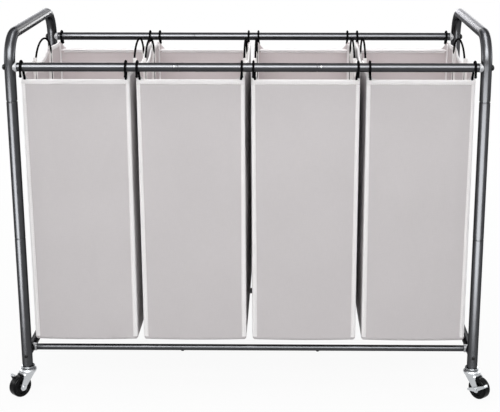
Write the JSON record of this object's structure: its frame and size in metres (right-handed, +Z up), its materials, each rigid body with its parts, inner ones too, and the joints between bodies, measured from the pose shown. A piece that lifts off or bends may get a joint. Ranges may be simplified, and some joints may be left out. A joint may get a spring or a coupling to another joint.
{
  "type": "laundry sorter",
  "caption": "Wheeled tube-frame laundry sorter with push handles and separate lift-off canvas bags hung from two rails on wire hooks.",
  "frame": {"origin": "on the floor under the middle of the frame", "axes": "+X to the right along the rails, +Y to the back, +Z up; the front faces -Y"},
  "size_m": [0.9134, 0.4574, 0.6986],
  "materials": {
    "frame_metal": "satin gunmetal grey enamel",
    "zinc": "bright zinc plate",
    "wire": "satin black coat",
    "grip": "satin black sleeve",
    "wheel": "matt black",
    "saddle": "satin light grey",
    "canvas": "matt woven canvas with paler binding"
  },
  "bodies": {
    "frame": {"push_handle_left": "frame_metal", "side_rail_left": "frame_metal", "push_handle_right": "frame_metal", "side_rail_right": "frame_metal", "top_rail_front_middle": "frame_metal", "bottom_rail_front": "frame_metal", "top_rail_back_middle": "frame_metal", "bottom_rail_back": "frame_metal", "top_rail_front_left": "frame_metal", "rail_saddle_front_left": "saddle", "upper_leg_front_left": "frame_metal", "lower_leg_front_left": "frame_metal", "caster_stem_front_left": "zinc", "top_rail_front_right": "frame_metal", "rail_saddle_front_right": "saddle", "upper_leg_front_right": "frame_metal", "lower_leg_front_right": "frame_metal", "caster_stem_front_right": "zinc", "top_rail_back_left": "frame_metal", "rail_saddle_back_left": "saddle", "upper_leg_back_left": "frame_metal", "lower_leg_back_left": "frame_metal", "caster_stem_back_left": "zinc", "top_rail_back_right": "frame_metal", "rail_saddle_back_right": "saddle", "upper_leg_back_right": "frame_metal", "lower_leg_back_right": "frame_metal", "caster_stem_back_right": "zinc"},
    "caster_front_left": {"caster_fork_front_left": "zinc"},
    "wheel_front_left": {"caster_wheel_front_left": "wheel"},
    "brake_front_left": {"brake_lever_front_left": "zinc"},
    "caster_front_right": {"caster_fork_front_right": "zinc"},
    "wheel_front_right": {"caster_wheel_front_right": "wheel"},
    "brake_front_right": {"brake_lever_front_right": "zinc"},
    "caster_back_left": {"caster_fork_back_left": "zinc"},
    "wheel_back_left": {"caster_wheel_back_left": "wheel"},
    "caster_back_right": {"caster_fork_back_right": "zinc"},
    "wheel_back_right": {"caster_wheel_back_right": "wheel"},
    "bag_1": {"bag_1": "canvas", "bag_1_hem_wire_front": "wire", "bag_1_hem_wire_back": "wire", "bag_1_handle_left": "grip", "bag_1_handle_right": "grip"},
    "bag_2": {"bag_2": "canvas", "bag_2_hem_wire_front": "wire", "bag_2_hem_wire_back": "wire", "bag_2_handle_left": "grip", "bag_2_handle_right": "grip"},
    "bag_3": {"bag_3": "canvas", "bag_3_hem_wire_front": "wire", "bag_3_hem_wire_back": "wire", "bag_3_handle_left": "grip", "bag_3_handle_right": "grip"},
    "bag_4": {"bag_4": "canvas", "bag_4_hem_wire_front": "wire", "bag_4_hem_wire_back": "wire", "bag_4_handle_left": "grip", "bag_4_handle_right": "grip"}
  },
  "joints": [
    {"name": "caster_swivel_front_left", "type": "hinge", "parent": "frame", "child": "caster_front_left", "pos_m": [-0.425, -0.19, 0.053], "axis": [0, 0, 1], "continuous": true},
    {"name": "wheel_spin_front_left", "type": "hinge", "parent": "caster_front_left", "child": "wheel_front_left", "pos_m": [-0.43786, -0.20532, 0.02074], "axis": [0.766, -0.6428, 0], "continuous": true},
    {"name": "brake_turn_front_left", "type": "hinge", "parent": "caster_front_left", "child": "brake_front_left", "pos_m": [-0.43786, -0.20532, 0.02074], "axis": [-0.766, 0.6428, 0], "range_deg": [-37, 0]},
    {"name": "caster_swivel_front_right", "type": "hinge", "parent": "frame", "child": "caster_front_right", "pos_m": [0.425, -0.19, 0.053], "axis": [0, 0, 1], "continuous": true},
    {"name": "wheel_spin_front_right", "type": "hinge", "parent": "caster_front_right", "child": "wheel_front_right", "pos_m": [0.43786, -0.20532, 0.02074], "axis": [0.766, 0.6428, 0], "continuous": true},
    {"name": "brake_turn_front_right", "type": "hinge", "parent": "caster_front_right", "child": "brake_front_right", "pos_m": [0.43786, -0.20532, 0.02074], "axis": [-0.766, -0.6428, 0], "range_deg": [0, 37]},
    {"name": "caster_swivel_back_left", "type": "hinge", "parent": "frame", "child": "caster_back_left", "pos_m": [-0.425, 0.19, 0.053], "axis": [0, 0, 1], "continuous": true},
    {"name": "wheel_spin_back_left", "type": "hinge", "parent": "caster_back_left", "child": "wheel_back_left", "pos_m": [-0.43786, 0.20532, 0.02074], "axis": [-0.766, -0.6428, 0], "continuous": true},
    {"name": "caster_swivel_back_right", "type": "hinge", "parent": "frame", "child": "caster_back_right", "pos_m": [0.425, 0.19, 0.053], "axis": [0, 0, 1], "continuous": true},
    {"name": "wheel_spin_back_right", "type": "hinge", "parent": "caster_back_right", "child": "wheel_back_right", "pos_m": [0.43786, 0.20532, 0.02074], "axis": [-0.766, 0.6428, 0], "continuous": true},
    {"name": "bag_1_lift", "type": "slide", "parent": "frame", "child": "bag_1", "axis": [0, 0, 1], "range_m": [0, 0.6]},
    {"name": "bag_2_lift", "type": "slide", "parent": "frame", "child": "bag_2", "axis": [0, 0, 1], "range_m": [0, 0.6]},
    {"name": "bag_3_lift", "type": "slide", "parent": "frame", "child": "bag_3", "axis": [0, 0, 1], "range_m": [0, 0.6]},
    {"name": "bag_4_lift", "type": "slide", "parent": "frame", "child": "bag_4", "axis": [0, 0, 1], "range_m": [0, 0.6]}
  ]
}
